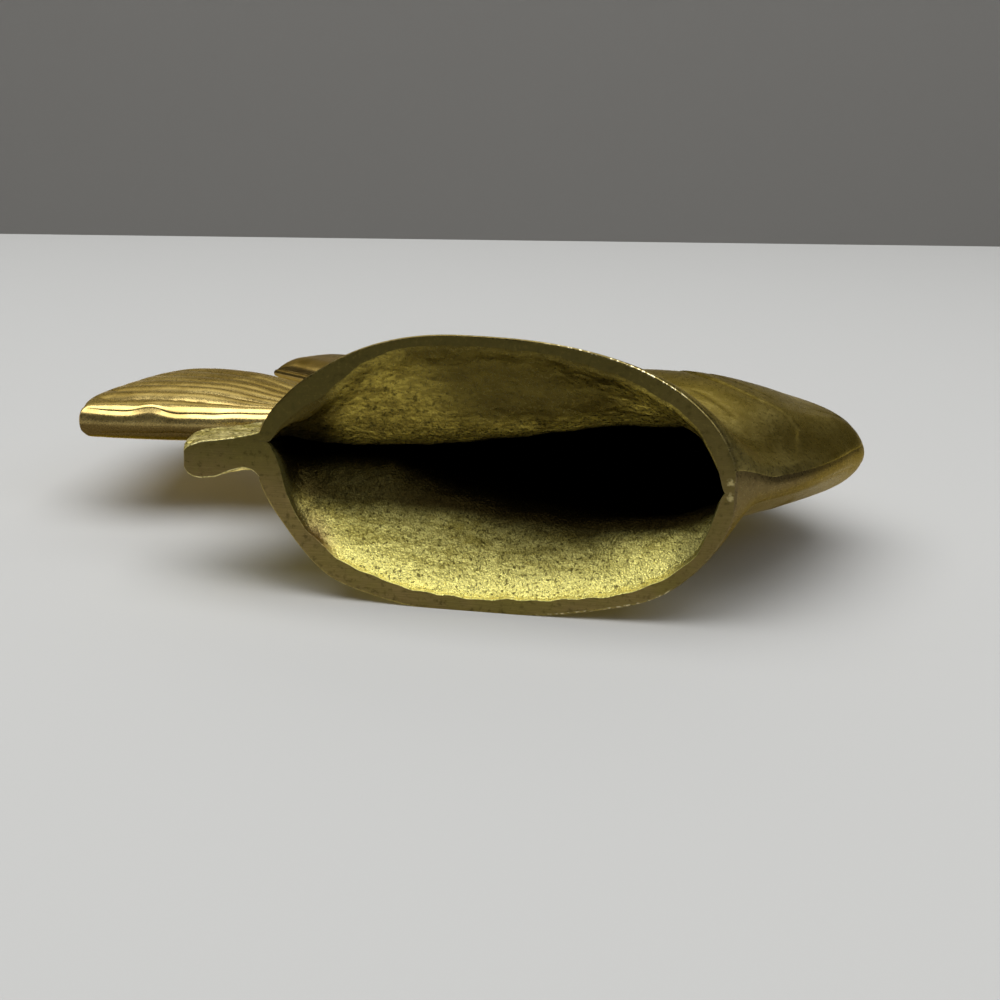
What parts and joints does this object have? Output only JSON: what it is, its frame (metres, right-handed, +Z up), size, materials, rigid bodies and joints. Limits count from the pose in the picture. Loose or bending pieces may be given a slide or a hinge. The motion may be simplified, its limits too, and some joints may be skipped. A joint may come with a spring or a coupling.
{
  "type": "fish figurine",
  "caption": "Hollow cast brass angelfish with a swept dorsal fin, fan tail and heel fin, standing on the open, flared teardrop rim of its base.",
  "frame": {"origin": "centre of the bounding box in plan, on the plane of the ground base rim", "axes": "+X towards the mouth, +Y towards the fish's left flank, +Z up from the base rim"},
  "size_m": [0.1648, 0.05, 0.143],
  "materials": {
    "cast_brass": "aged satin, sand-cast inside, ground flat on the rim",
    "polished_brass": "worn polish with fine lengthwise grooves",
    "filler_brass": "braze bead, aged"
  },
  "bodies": {
    "root": {"left_flank": "cast_brass", "right_flank": "cast_brass", "tail_fin": "polished_brass", "dorsal_fin": "polished_brass", "heel_fin": "cast_brass", "front_seam_braze": "filler_brass", "rear_seam_braze": "filler_brass", "back_seam_braze": "filler_brass"}
  },
  "joints": []
}
